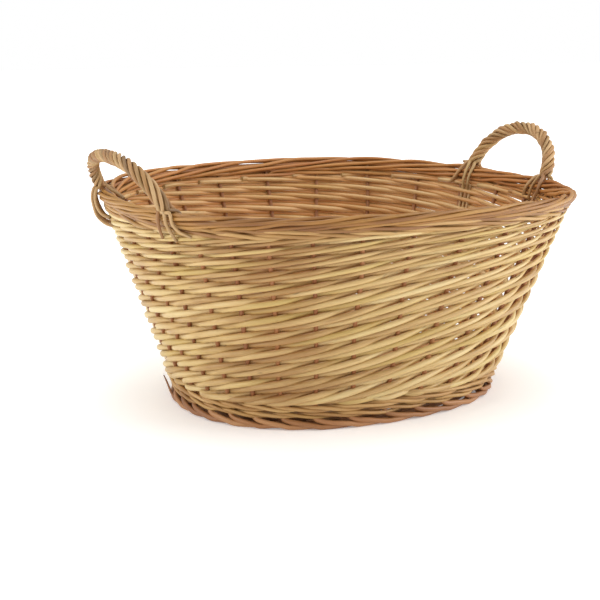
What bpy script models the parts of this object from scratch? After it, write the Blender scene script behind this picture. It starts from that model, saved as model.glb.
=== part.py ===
"""Oval willow basket with a pierced-stick base, twenty-six side stakes and two roped end handles.

Metres, +Z up. The basket stands on z = 0 with its centre over the origin, and its long axis
lies along X. The wall is one straight-sided loft from the small foot oval to the wide rim oval.
Each band of weaving is a ring on that loft, with an open channel for every stake that it holds.
"""

import math

import bmesh
import bpy
from mathutils import Vector

# ---- driving dimensions, metres ----
RIM_LENGTH = 0.563           # of the wall's loft at the rim; the border measures 0.559
RIM_WIDTH = 0.460
RIM_HEIGHT = 0.250
RIM_SQUARENESS = 2.5         # superellipse exponent of the rim oval
FOOT_LENGTH = 0.404
FOOT_WIDTH = 0.298
FOOT_SQUARENESS = 2.2
SIDE_RISE = 0.003            # how much the long sides of the rim stand above its middle height

GAP = 0.0004                 # between neighbouring solids
WALL_THICKNESS = 0.013
STAKE_COUNT = 30
STAKE_DIAMETER = 0.0050
STAKE_START = 0.063          # mean perimeter fraction of the first stake, from +X
# Waves of the stakes' places round the perimeter, as (cosine, sine): one, two and three waves in
# a full turn. They set the stakes closer together at the two ends and wider along the back.
STAKE_WAVES = ((-0.0190, 0.0130), (-0.0175, -0.0065), (-0.0060, 0.0035))
STAKE_FOOT_LENGTH = 0.024    # how far a stake reaches into the base weave
STAKE_TOP = RIM_HEIGHT - 0.007

FOOT_BORDER_HEIGHT = 0.0125
FOOT_BORDER_CHAMFER = 0.003
FOOT_BORDER_PROUD = 0.003    # how far the foot border stands out of the wall's face
UPSETT_TOP = 0.030
SIDING_MIDDLE = 0.133
SIDING_TOP = 0.226
RIM_BORDER_DIAMETER = 0.0135
TOP_WALE_TOP = RIM_HEIGHT - RIM_BORDER_DIAMETER - GAP

BASE_THICKNESS = 0.012
BASE_MIDDLE = FOOT_BORDER_HEIGHT + GAP + BASE_THICKNESS / 2
STICK_MARGIN = 0.030         # from the end of a base stick to the edge of the base weave
CROSS_STICK_COUNT = 6
CROSS_STICK_DIAMETER = 0.0080
CROSS_STICK_PITCH = 0.040
LONG_STICK_COUNT = 3
LONG_STICK_DIAMETER = 0.0046
LONG_STICK_PITCH = 0.0054
OPENING_WIDTH = 0.0060       # of the gap in the base weave beyond the long sticks' ends
OPENING_HEIGHT = 0.0040

BOW_DIAMETER = 0.0080
BOW_TUCK = 0.045             # depth of a bow's leg inside the wall
STRAND_COUNT = 5
STRAND_DIAMETER = 0.0046
STRAND_LAY = 0.042           # length of bow covered by one turn of a strand
STRAND_CLEARANCE = 0.0007

# For each handle: its side of the basket, the perimeter fractions where its two legs enter the
# rim, the rise of its arch above the rim, how far the top leans out past the legs, and the power
# of the arch's curve (below 1 the shoulders are squarer than a half ellipse's).
HANDLES = {
    "left": (-1, 0.5504, 0.4510, 0.0490, 0.0302, 0.89),
    "right": (1, 0.9743, 0.0510, 0.0572, 0.0276, 0.97),
}

OUTLINE_STEPS = 52
ARC_SAMPLES = 2880
TUBE_SIDES_6 = 1             # bevel_resolution of a six-sided tube
TUBE_SIDES_8 = 2


# ---- the oval wall ----
def oval(angle, half_length, half_width, squareness):
    """Point of a superellipse at a parameter angle."""
    c, s = math.cos(angle), math.sin(angle)
    power = 2.0 / squareness
    return Vector((
        half_length * math.copysign(abs(c) ** power, c),
        half_width * math.copysign(abs(s) ** power, s),
    ))


def blend_oval(angle, k):
    """Outer outline of the wall at the fraction k of its height."""
    return oval(
        angle,
        (FOOT_LENGTH + (RIM_LENGTH - FOOT_LENGTH) * k) / 2,
        (FOOT_WIDTH + (RIM_WIDTH - FOOT_WIDTH) * k) / 2,
        FOOT_SQUARENESS + (RIM_SQUARENESS - FOOT_SQUARENESS) * k,
    )


def arc_table():
    """Running length round the outline at half height, for turning fractions into angles."""
    lengths = [0.0]
    previous = blend_oval(0.0, 0.5)
    for i in range(1, ARC_SAMPLES + 1):
        point = blend_oval(2 * math.pi * i / ARC_SAMPLES, 0.5)
        lengths.append(lengths[-1] + (point - previous).length)
        previous = point
    return lengths


ARC_LENGTHS = arc_table()


def angle_at(fraction):
    """Parameter angle at a fraction of the perimeter, counted anticlockwise from +X."""
    target = (fraction % 1.0) * ARC_LENGTHS[-1]
    low, high = 0, ARC_SAMPLES
    while high - low > 1:
        middle = (low + high) // 2
        if ARC_LENGTHS[middle] <= target:
            low = middle
        else:
            high = middle
    share = (target - ARC_LENGTHS[low]) / (ARC_LENGTHS[high] - ARC_LENGTHS[low])
    return 2 * math.pi * (low + share) / ARC_SAMPLES


def wall_point(fraction, z, inset):
    """Point of the wall, moved level and inward from its outer face by inset."""
    k = z / RIM_HEIGHT
    angle = angle_at(fraction)
    step = 0.004
    tangent = (blend_oval(angle + step, k) - blend_oval(angle - step, k)).normalized()
    outward = Vector((tangent.y, -tangent.x))
    place = blend_oval(angle, k) - outward * inset
    return Vector((place.x, place.y, z - SIDE_RISE * math.cos(2 * angle) * k))


def stake_fraction(index):
    """Perimeter fraction of a stake. The stakes are not evenly spaced."""
    turn = 2 * math.pi * index / STAKE_COUNT
    fraction = STAKE_START + index / STAKE_COUNT
    for order, (cosine, sine) in enumerate(STAKE_WAVES, 1):
        fraction += cosine * math.cos(order * turn) + sine * math.sin(order * turn)
    return fraction


# ---- collections, materials and shapes ----
def new_collection(name):
    collection = bpy.data.collections.new(name)
    bpy.context.scene.collection.children.link(collection)
    return collection


def make_material(name, color, roughness):
    material = bpy.data.materials.new(name)
    material.use_nodes = True
    shader = material.node_tree.nodes["Principled BSDF"]
    shader.inputs["Base Color"].default_value = (*color, 1.0)
    shader.inputs["Roughness"].default_value = roughness
    shader.inputs["Metallic"].default_value = 0.0
    return material


def add_object(name, mesh, collection, color=None, roughness=0.6):
    """Link a mesh as a part with its own material, or as a hidden cutter without a color."""
    piece = bpy.data.objects.new(name, mesh)
    collection.objects.link(piece)
    if color is None:
        piece.hide_render = True
        piece.display_type = "WIRE"
    else:
        mesh.materials.append(make_material(name + "_finish", color, roughness))
        mesh.shade_smooth()
        mesh.set_sharp_from_angle(angle=math.radians(40))
    return piece


def oval_ring(name, profile, collection, color):
    """Closed ring lofted round the wall from a closed profile of (height, inset) pairs."""
    mesh = bpy.data.meshes.new(name)
    shape = bmesh.new()
    loops = []
    for step in range(OUTLINE_STEPS):
        fraction = step / OUTLINE_STEPS
        loops.append([shape.verts.new(wall_point(fraction, z, inset)) for z, inset in profile])
    count = len(profile)
    for step in range(OUTLINE_STEPS):
        here, there = loops[step], loops[(step + 1) % OUTLINE_STEPS]
        for i in range(count):
            j = (i + 1) % count
            shape.faces.new((here[i], here[j], there[j], there[i]))
    bmesh.ops.recalc_face_normals(shape, faces=shape.faces)
    shape.to_mesh(mesh)
    shape.free()
    return add_object(name, mesh, collection, color)


def tube_mesh(name, points, diameter, resolution):
    """Capped tube along a polyline, as a welded mesh."""
    curve = bpy.data.curves.new(name + "_path", "CURVE")
    curve.dimensions = "3D"
    curve.bevel_depth = diameter / 2
    curve.bevel_resolution = resolution
    curve.use_fill_caps = True
    spline = curve.splines.new("POLY")
    spline.points.add(len(points) - 1)
    for spot, place in zip(spline.points, points):
        spot.co = (*place, 1.0)
    holder = bpy.data.objects.new(name + "_path", curve)
    bpy.context.scene.collection.objects.link(holder)
    evaluated = holder.evaluated_get(bpy.context.evaluated_depsgraph_get())
    mesh = bpy.data.meshes.new_from_object(evaluated)
    mesh.name = name
    bpy.data.objects.remove(holder)
    bpy.data.curves.remove(curve)
    shape = bmesh.new()
    shape.from_mesh(mesh)
    bmesh.ops.remove_doubles(shape, verts=shape.verts, dist=0.00005)
    bmesh.ops.recalc_face_normals(shape, faces=shape.faces)
    shape.to_mesh(mesh)
    shape.free()
    mesh.materials.clear()
    return mesh


def merged_cutter(name, meshes, collection):
    """One hidden cutter from several closed meshes that don't touch each other."""
    shape = bmesh.new()
    for mesh in meshes:
        shape.from_mesh(mesh)
        bpy.data.meshes.remove(mesh)
    merged = bpy.data.meshes.new(name)
    shape.to_mesh(merged)
    shape.free()
    return add_object(name, merged, collection)


def box_cutter(name, size, place, collection):
    mesh = bpy.data.meshes.new(name)
    shape = bmesh.new()
    bmesh.ops.create_cube(shape, size=1.0)
    bmesh.ops.scale(shape, vec=size, verts=shape.verts)
    shape.to_mesh(mesh)
    shape.free()
    cutter = add_object(name, mesh, collection)
    cutter.location = place
    return cutter


def cut(piece, cutter):
    modifier = piece.modifiers.new("cut_" + cutter.name, "BOOLEAN")
    modifier.operation = "DIFFERENCE"
    modifier.solver = "EXACT"
    modifier.object = cutter


# ---- stakes ----
STAKE_INSET = WALL_THICKNESS / 2
BEND_RISE = 0.006            # height over which a stake turns from the base up into the wall


def stake_path(index, extra):
    """Centre line of a stake: into the base weave, round the bend and up the wall."""
    fraction = stake_fraction(index)
    bend = wall_point(fraction, BASE_MIDDLE, STAKE_INSET)
    inner = wall_point(fraction, BASE_MIDDLE, STAKE_INSET + 0.01)
    inward = (inner - bend).normalized()
    return [
        bend + inward * (STAKE_FOOT_LENGTH + WALL_THICKNESS / 2 + extra),
        bend + inward * BEND_RISE,
        wall_point(fraction, BASE_MIDDLE + BEND_RISE * 0.3, STAKE_INSET + BEND_RISE * 0.25),
        wall_point(fraction, BASE_MIDDLE + BEND_RISE, STAKE_INSET),
        wall_point(fraction, STAKE_TOP + extra, STAKE_INSET),
    ]


def make_stakes(parts, cutters):
    """The side stakes, and one cutter that makes all their channels."""
    channels = []
    for index in range(STAKE_COUNT):
        name = f"side_stake_{index + 1:02d}"
        mesh = tube_mesh(name, stake_path(index, 0.0), STAKE_DIAMETER, TUBE_SIDES_6)
        add_object(name, mesh, parts, (0.45, 0.25, 0.11), 0.6)
        channel_path = stake_path(index, GAP * 2)
        channels.append(tube_mesh("channel", channel_path, STAKE_DIAMETER + 2 * GAP, TUBE_SIDES_6))
    return merged_cutter("stake_channels", channels, cutters)


# ---- base ----
def make_base(parts, cutters, stake_channels):
    """Pierced cross sticks on three long sticks, inside the oval plate of base weaving."""
    edge = WALL_THICKNESS + GAP
    slot_width = LONG_STICK_PITCH * (LONG_STICK_COUNT - 1) + LONG_STICK_DIAMETER + 2 * GAP
    slot_height = LONG_STICK_DIAMETER + 2 * GAP
    half_length = wall_point(0.0, BASE_MIDDLE, edge).x - STICK_MARGIN
    for index in range(LONG_STICK_COUNT):
        name = f"base_long_stick_{index + 1}"
        y = (index - (LONG_STICK_COUNT - 1) / 2) * LONG_STICK_PITCH
        ends = [(-half_length, y, BASE_MIDDLE), (half_length, y, BASE_MIDDLE)]
        mesh = tube_mesh(name, ends, LONG_STICK_DIAMETER, TUBE_SIDES_8)
        add_object(name, mesh, parts, (0.42, 0.22, 0.09))
    slot_length = 2 * (half_length + 0.003)
    slot = box_cutter(
        "slath_slot", (slot_length, slot_width, slot_height), (0.0, 0.0, BASE_MIDDLE), cutters
    )
    # A narrower slot runs on past the sticks' ends and out through the edge of the weave.
    opening_size = (2 * (half_length + STICK_MARGIN + 0.004), OPENING_WIDTH, OPENING_HEIGHT)
    opening = box_cutter("slath_opening", opening_size, (0.0, 0.0, BASE_MIDDLE), cutters)
    tunnels = []
    for index in range(CROSS_STICK_COUNT):
        name = f"base_cross_stick_{index + 1}"
        x = (index - (CROSS_STICK_COUNT - 1) / 2) * CROSS_STICK_PITCH
        half_oval = (FOOT_LENGTH + FOOT_WIDTH) / 4
        share = math.sqrt(1 - (x / half_oval) ** 2)
        reach = share * (wall_point(0.25, BASE_MIDDLE, edge).y - STICK_MARGIN)
        ends = [(x, -reach, BASE_MIDDLE), (x, reach, BASE_MIDDLE)]
        mesh = tube_mesh(name, ends, CROSS_STICK_DIAMETER, TUBE_SIDES_8)
        cut(add_object(name, mesh, parts, (0.42, 0.22, 0.09)), slot)
        clear = [(x, -reach - GAP, BASE_MIDDLE), (x, reach + GAP, BASE_MIDDLE)]
        tunnels.append(tube_mesh("tunnel", clear, CROSS_STICK_DIAMETER + 2 * GAP, TUBE_SIDES_8))
    low, high = BASE_MIDDLE - BASE_THICKNESS / 2, BASE_MIDDLE + BASE_THICKNESS / 2
    mesh = bpy.data.meshes.new("base_weave")
    shape = bmesh.new()
    rows = []
    for z in (low, high):
        fractions = [step / OUTLINE_STEPS for step in range(OUTLINE_STEPS)]
        rows.append([shape.verts.new(wall_point(f, z, edge)) for f in fractions])
        for vert in rows[-1]:
            vert.co.z = z
        shape.faces.new(rows[-1])
    for step in range(OUTLINE_STEPS):
        after = (step + 1) % OUTLINE_STEPS
        shape.faces.new((rows[0][step], rows[0][after], rows[1][after], rows[1][step]))
    bmesh.ops.recalc_face_normals(shape, faces=shape.faces)
    shape.to_mesh(mesh)
    shape.free()
    plate = add_object("base_weave", mesh, parts, (0.50, 0.28, 0.12))
    cut(plate, merged_cutter("cross_stick_tunnels", tunnels, cutters))
    cut(plate, slot)
    cut(plate, opening)
    cut(plate, stake_channels)


# ---- bands of weaving ----
def band_profile(low, high):
    return [(low, 0.0), (high, 0.0), (high, WALL_THICKNESS), (low, WALL_THICKNESS)]


def round_profile(z, inset, diameter, sides):
    turns = [2 * math.pi * (i + 0.5) / sides for i in range(sides)]
    radius = diameter / 2
    return [(z + radius * math.sin(turn), inset + radius * math.cos(turn)) for turn in turns]


def make_bands(parts, stake_channels):
    """Foot border, upsett, two lifts of siding, top wale and rim border."""
    top, chamfer = FOOT_BORDER_HEIGHT, FOOT_BORDER_CHAMFER
    proud = FOOT_BORDER_PROUD
    foot = [
        (0.0, -proud), (top - chamfer, -proud), (top, chamfer - proud),
        (top, WALL_THICKNESS - chamfer), (top - chamfer, WALL_THICKNESS), (0.0, WALL_THICKNESS),
    ]
    oval_ring("foot_border", foot, parts, (0.43, 0.20, 0.08))
    levels = [top + GAP, UPSETT_TOP, SIDING_MIDDLE, SIDING_TOP, TOP_WALE_TOP]
    names = ["upsett_wale", "siding_lower", "siding_upper", "top_wale"]
    colors = [(0.55, 0.31, 0.13), (0.66, 0.44, 0.21), (0.66, 0.44, 0.21), (0.60, 0.38, 0.17)]
    bands = {}
    for name, color, low, high in zip(names, colors, levels, levels[1:]):
        bands[name] = oval_ring(name, band_profile(low, high - GAP), parts, color)
        cut(bands[name], stake_channels)
    border_middle = RIM_HEIGHT - RIM_BORDER_DIAMETER / 2
    border = round_profile(border_middle, RIM_BORDER_DIAMETER / 2, RIM_BORDER_DIAMETER, 8)
    bands["rim_border"] = oval_ring("rim_border", border, parts, (0.58, 0.35, 0.15))
    cut(bands["rim_border"], stake_channels)
    return bands


# ---- handles ----
ARCH_STEPS = 26
LEG_STEPS = 3
STRAND_STEPS_PER_TURN = 8


def bow_points(handle, tuck):
    """Centre line of a handle's bow, from deep in the wall, over the arch and down again."""
    side, first_leg, second_leg, rise, overhang, power = handle
    feet = [wall_point(leg, RIM_HEIGHT, STAKE_INSET) for leg in (first_leg, second_leg)]
    centre, half = (feet[0] + feet[1]) / 2, (feet[1] - feet[0]) / 2
    apex = Vector((side * overhang, 0.0, rise))
    points = []
    for step in range(LEG_STEPS):
        z = RIM_HEIGHT - tuck * (1 - step / LEG_STEPS)
        points.append(wall_point(first_leg, z, STAKE_INSET))
    for step in range(ARCH_STEPS + 1):
        turn = math.pi * step / ARCH_STEPS
        across = math.copysign(abs(math.cos(turn)) ** power, math.cos(turn))
        points.append(centre - half * across + apex * abs(math.sin(turn)) ** power)
    for step in reversed(range(LEG_STEPS)):
        z = RIM_HEIGHT - tuck * (1 - step / LEG_STEPS)
        points.append(wall_point(second_leg, z, STAKE_INSET))
    return points


def strand_points(arch, start_turn):
    """Helix laid round the arch, clear of the rim at both ends."""
    lengths = [0.0]
    for a, b in zip(arch, arch[1:]):
        lengths.append(lengths[-1] + (b - a).length)
    across = (arch[len(arch) // 2] - arch[0]).cross(arch[-1] - arch[0]).normalized()
    radius = (BOW_DIAMETER + STRAND_DIAMETER) / 2 + STRAND_CLEARANCE
    first = radius * 0.9
    last = lengths[-1] - first
    count = int((last - first) / STRAND_LAY * STRAND_STEPS_PER_TURN)
    points = []
    span = 0
    for step in range(count + 1):
        distance = first + (last - first) * step / count
        while lengths[span + 1] < distance:
            span += 1
        share = (distance - lengths[span]) / (lengths[span + 1] - lengths[span])
        place = arch[span].lerp(arch[span + 1], share)
        before = arch[span] - arch[max(span - 1, 0)] + arch[span + 1] - arch[span]
        after = arch[span + 1] - arch[span] + arch[min(span + 2, len(arch) - 1)] - arch[span + 1]
        along = before.lerp(after, share).normalized()
        normal = across.cross(along).normalized()
        turn = 2 * math.pi * (start_turn + distance / STRAND_LAY)
        points.append(place + radius * (normal * math.cos(turn) + across * math.sin(turn)))
    return points


def make_handle(name, parts, cutters, bands):
    """A bow pushed down into the wall beside two stakes, roped with strands above the rim."""
    path = bow_points(HANDLES[name], BOW_TUCK)
    bow_name = f"{name}_handle_bow"
    bow = tube_mesh(bow_name, path, BOW_DIAMETER, TUBE_SIDES_8)
    add_object(bow_name, bow, parts, (0.50, 0.31, 0.14))
    socket_path = bow_points(HANDLES[name], BOW_TUCK + 2 * GAP)
    socket = tube_mesh(f"{name}_socket", socket_path, BOW_DIAMETER + 2 * GAP, TUBE_SIDES_8)
    socket_cutter = add_object(f"{name}_handle_sockets", socket, cutters)
    for band in ("siding_upper", "top_wale", "rim_border"):
        cut(bands[band], socket_cutter)
    arch = path[LEG_STEPS:LEG_STEPS + ARCH_STEPS + 1]
    for index in range(STRAND_COUNT):
        strand_name = f"{name}_handle_strand_{index + 1}"
        points = strand_points(arch, index / STRAND_COUNT)
        strand = tube_mesh(strand_name, points, STRAND_DIAMETER, TUBE_SIDES_6)
        add_object(strand_name, strand, parts, (0.60, 0.39, 0.18))


def main():
    for leftover in list(bpy.data.objects):
        bpy.data.objects.remove(leftover)
    parts = new_collection("willow_basket")
    cutters = new_collection("cutters")
    stake_channels = make_stakes(parts, cutters)
    make_base(parts, cutters, stake_channels)
    bands = make_bands(parts, stake_channels)
    for name in HANDLES:
        make_handle(name, parts, cutters, bands)


main()
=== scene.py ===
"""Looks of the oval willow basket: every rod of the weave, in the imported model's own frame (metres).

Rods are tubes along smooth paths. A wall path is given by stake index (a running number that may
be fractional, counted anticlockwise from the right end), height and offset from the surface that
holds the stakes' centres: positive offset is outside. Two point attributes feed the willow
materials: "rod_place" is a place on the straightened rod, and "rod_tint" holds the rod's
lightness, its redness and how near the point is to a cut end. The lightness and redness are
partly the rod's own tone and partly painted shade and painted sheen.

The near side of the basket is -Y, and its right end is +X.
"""
import math

import bpy
import numpy as np
from mathutils import Matrix, Vector


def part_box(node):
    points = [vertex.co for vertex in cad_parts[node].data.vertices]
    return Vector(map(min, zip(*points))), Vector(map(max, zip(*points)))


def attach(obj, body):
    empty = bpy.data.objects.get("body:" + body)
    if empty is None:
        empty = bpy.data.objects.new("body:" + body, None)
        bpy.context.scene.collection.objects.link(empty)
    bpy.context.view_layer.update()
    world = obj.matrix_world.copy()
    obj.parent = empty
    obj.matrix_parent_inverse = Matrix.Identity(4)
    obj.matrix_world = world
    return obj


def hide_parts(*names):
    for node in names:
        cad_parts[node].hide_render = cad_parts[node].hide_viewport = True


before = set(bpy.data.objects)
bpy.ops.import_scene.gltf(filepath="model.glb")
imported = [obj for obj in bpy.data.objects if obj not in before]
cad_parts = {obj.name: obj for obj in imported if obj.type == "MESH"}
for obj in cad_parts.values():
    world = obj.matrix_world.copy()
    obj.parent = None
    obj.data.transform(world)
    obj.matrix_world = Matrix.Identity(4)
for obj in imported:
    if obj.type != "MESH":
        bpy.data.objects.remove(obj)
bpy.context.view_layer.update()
rng = np.random.RandomState(56)

# ---- sizes read from the frame, metres ----
RIM_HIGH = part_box("rim_border")[1]
FOOT_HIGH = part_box("foot_border")[1]
BASE_LOW, BASE_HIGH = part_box("base_weave")
SIDE_RISE = 0.003                        # the long sides of the rim stand this much above its middle
BORDER_THICKNESS = 0.0135
RIM_TOP = RIM_HIGH.z - SIDE_RISE
RIM_LEVEL = RIM_TOP - BORDER_THICKNESS / 2
FOOT_LEVEL = FOOT_HIGH.z - 0.003
FOOT_PROUD = 0.003                       # the foot border stands this far out of the wall's face
FOOT_SQUARENESS, RIM_SQUARENESS = 2.2, 2.5
BASE_LEVEL = (BASE_LOW.z + BASE_HIGH.z) / 2

# ---- stakes ----
STAKE_COUNT = sum(1 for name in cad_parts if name.startswith("side_stake_"))
STAKE_START = 0.063                      # perimeter fraction, before the waves
STAKE_WAVES = (                          # cosine and sine of once, twice and three times round the wall
    (-0.0190, 0.0130), (-0.0175, -0.0065), (-0.0060, 0.0035),
)
STAKE_RADIUS = 0.0025
STAKE_INSET = 0.0084                     # from the wall's outer outline to the stakes' centres

# ---- rods of the weave ----
SIDING_RADIUS = 0.0036
SIDING_OFFSET = 0.0043                   # of a siding rod's centre from the stakes that it crosses
WALE_RADIUS = 0.00215
WALE_OFFSET = 0.0042
BORDER_RADIUS = 0.0021
PACKING_RADIUS = 0.0029                  # short rods that pack the middle of the border
FOOT_RADIUS = 0.0031
BASE_ROD_RADIUS = 0.0021
BASE_STICK_RADIUS = 0.0032

# ---- heights of the bands ----
UPSETT_ROUNDS = 2
UPSETT_ROUND = 0.0084
TOP_WALE_ROUNDS = 2
TOP_WALE_ROUND = 0.00585
SIDING_LOW = FOOT_HIGH.z + UPSETT_ROUNDS * UPSETT_ROUND - 0.0006
SIDING_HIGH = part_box("siding_upper")[1].z


# ---- wall coordinates ----
def outline(angle, k):
    """Outline of the wall at fraction k of the way from the foot to the rim."""
    foot_length, foot_width = FOOT_HIGH.x - FOOT_PROUD, FOOT_HIGH.y - FOOT_PROUD
    half_length = foot_length + (RIM_HIGH.x - foot_length) * k
    half_width = foot_width + (RIM_HIGH.y - foot_width) * k
    squareness = FOOT_SQUARENESS + (RIM_SQUARENESS - FOOT_SQUARENESS) * k
    c, s = np.cos(angle), np.sin(angle)
    x = half_length * np.sign(c) * np.abs(c) ** (2 / squareness)
    y = half_width * np.sign(s) * np.abs(s) ** (2 / squareness)
    nx = np.sign(x) * np.abs(x / half_length) ** (squareness - 1) / half_length
    ny = np.sign(y) * np.abs(y / half_width) ** (squareness - 1) / half_width
    size = np.hypot(nx, ny)
    return x, y, nx / size, ny / size


ARC_ANGLES = np.linspace(0.0, 2 * math.pi, 2881)
_x, _y, _, _ = outline(ARC_ANGLES, 0.5)
ARC_FRACTIONS = np.concatenate([[0.0], np.cumsum(np.hypot(np.diff(_x), np.diff(_y)))])
ARC_FRACTIONS /= ARC_FRACTIONS[-1]


def stake_fraction(index):
    """Perimeter fraction at a running stake index. The stakes are not evenly spaced."""
    index = np.asarray(index, float)
    turn = 2 * math.pi * index / STAKE_COUNT
    fraction = STAKE_START + index / STAKE_COUNT
    for order, (cosine, sine) in enumerate(STAKE_WAVES, 1):
        fraction = fraction + cosine * np.cos(order * turn) + sine * np.sin(order * turn)
    return fraction


def wall_at(fraction, z, offset):
    """Points at a perimeter fraction, a height and an outward offset from the stakes' surface."""
    fraction, z, offset = np.broadcast_arrays(np.asarray(fraction, float), z, offset)
    angle = np.interp(np.mod(fraction, 1.0), ARC_FRACTIONS, ARC_ANGLES)
    k = (z - FOOT_LEVEL) / (RIM_LEVEL - FOOT_LEVEL)
    x, y, nx, ny = outline(angle, k)
    out = offset - STAKE_INSET
    rise = -SIDE_RISE * np.cos(2 * angle) * np.clip(k, 0.0, 1.0)
    return np.stack([x + nx * out, y + ny * out, z + rise], axis=-1)


def wall(index, z, offset):
    return wall_at(stake_fraction(index), z, offset)


def smooth(knots, samples):
    """Catmull-Rom curve through rows of knots, with this many samples in each span."""
    knots = np.asarray(knots, float)
    padded = np.vstack([2 * knots[0] - knots[1], knots, 2 * knots[-1] - knots[-2]])
    t = np.linspace(0.0, 1.0, samples, endpoint=False)[:, None]
    rows = []
    for i in range(1, len(padded) - 2):
        a, b, c, d = padded[i - 1:i + 3]
        rows.append(0.5 * (2 * b + (c - a) * t + (2 * a - 5 * b + 4 * c - d) * t ** 2
                           + (3 * b - a - 3 * c + d) * t ** 3))
    rows.append(knots[-1:])
    return np.vstack(rows)


# ---- rods ----
OVALNESS, TRIANGULARITY = 0.035, 0.02    # how far a rod's section departs from a circle, as shares
END_LENGTH = 0.006                       # over which a cut end's darker tone fades


class Rods:
    """Collects tubes and turns them into one mesh object with the willow attributes."""

    def __init__(self, sides):
        self.sides = sides
        self.count = 0
        self.verts, self.faces, self.places, self.tints = [], [], [], []

    def add(self, points, radius, up=(0.0, 0.0, 1.0), redness=0.0, lightness=None, inside_shade_red=0.0):
        """One rod along points. Its radius, redness and lightness may vary along it, and the last
        argument reddens the side that faces the middle of the basket: painted shade of the basket's
        inside, partly the willow's own redder, less sun-bleached inner face."""
        points = np.asarray(points, float)
        n = len(points)
        radius = np.broadcast_to(np.asarray(radius, float), n)
        redness = np.broadcast_to(np.asarray(redness, float), n)
        if lightness is None:
            lightness = rng.uniform(0.0, 1.0)
        tangent = np.gradient(points, axis=0)
        tangent /= np.linalg.norm(tangent, axis=1, keepdims=True)
        up = np.broadcast_to(np.asarray(up, float), (n, 3))
        side = np.cross(tangent, up)
        side /= np.linalg.norm(side, axis=1, keepdims=True)
        above = np.cross(side, tangent)
        turn = 2 * math.pi * np.arange(self.sides) / self.sides
        section = (1.0 + OVALNESS * np.sin(turn * 2 + rng.uniform(0, 6.28))
                   + TRIANGULARITY * np.sin(turn * 3))
        cosines, sines = np.cos(turn) * section, np.sin(turn) * section
        ring = (side[:, None] * cosines[None, :, None] + above[:, None] * sines[None, :, None])
        verts = points[:, None] + ring * radius[:, None, None]
        along = np.concatenate([[0.0], np.cumsum(np.linalg.norm(np.diff(points, axis=0), axis=1))])
        shift = rng.uniform(0.0, 40.0)
        place = np.stack([
            np.repeat(along[:, None] + shift, self.sides, 1),
            radius[:, None] * cosines[None, :],
            radius[:, None] * sines[None, :],
        ], axis=-1)
        inside_shade_red = np.broadcast_to(np.asarray(inside_shade_red, float), n)[:, None]
        lightness = np.broadcast_to(np.asarray(lightness, float), n)
        inward = -points * (1.0, 1.0, 0.0)
        inward /= np.linalg.norm(inward, axis=1, keepdims=True) + 1e-9
        turned_in = np.einsum("nkc,nc->nk", ring, inward)
        near_end = np.exp(-np.minimum(along, along[-1] - along) / END_LENGTH)
        # the added redness of the inward faces is painted shade, partly the willow's own redder inside
        tint = np.stack([
            np.repeat(lightness[:, None], self.sides, 1),
            np.clip(redness[:, None] + inside_shade_red * turned_in, 0.0, 1.0),
            np.repeat(near_end[:, None], self.sides, 1),
        ], axis=-1)
        first = self.count
        index = first + np.arange(n * self.sides).reshape(n, self.sides)
        after = np.roll(index, -1, axis=1)
        quads = np.stack([index[:-1], index[1:], after[1:], after[:-1]], axis=-1).reshape(-1, 4)
        self.faces.extend(quads.tolist())
        self.faces.append(index[0].tolist())
        self.faces.append(index[-1][::-1].tolist())
        self.verts.append(verts.reshape(-1, 3))
        self.places.append(place.reshape(-1, 3))
        self.tints.append(tint.reshape(-1, 3))
        self.count += n * self.sides

    def build(self, name, material, nodes):
        """Makes the piece. It rides on the one body and stands for the named CAD nodes."""
        mesh = bpy.data.meshes.new(name)
        mesh.from_pydata(np.vstack(self.verts).tolist(), [], self.faces)
        for label, data in (("rod_place", self.places), ("rod_tint", self.tints)):
            layer = mesh.attributes.new(label, "FLOAT_VECTOR", "POINT")
            layer.data.foreach_set("vector", np.vstack(data).astype(np.float32).ravel())
        mesh.materials.append(material)
        mesh.shade_smooth()
        mesh.set_sharp_from_angle(angle=math.radians(60))
        mesh.update()
        piece = bpy.data.objects.new(name, mesh)
        bpy.context.scene.collection.objects.link(piece)
        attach(piece, "root")
        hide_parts(*nodes)


def taper(n, start, end):
    return np.linspace(start, end, n)


# ---- materials ----
ROD_TONE, PATCH_TONE, FIBRE_TONE = 0.62, 0.7, 0.55       # how much each shifts the tone, on 0 to 1
YELLOWING = 2.4
REDDENING = 0.8
KNOT_LEVEL, KNOT_EDGE, KNOT_STRENGTH = 0.72, 9.0, 0.75
END_DARKENING = 0.45
DARK_UNTIL, PALE_FROM = 0.12, 0.88                       # tones
SMOOTHER, ROUGHER = 0.1, 0.14            # how far the roughness strays to either side
BUMP_STRENGTH, BUMP_DEPTH = 0.35, 0.0006


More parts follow.
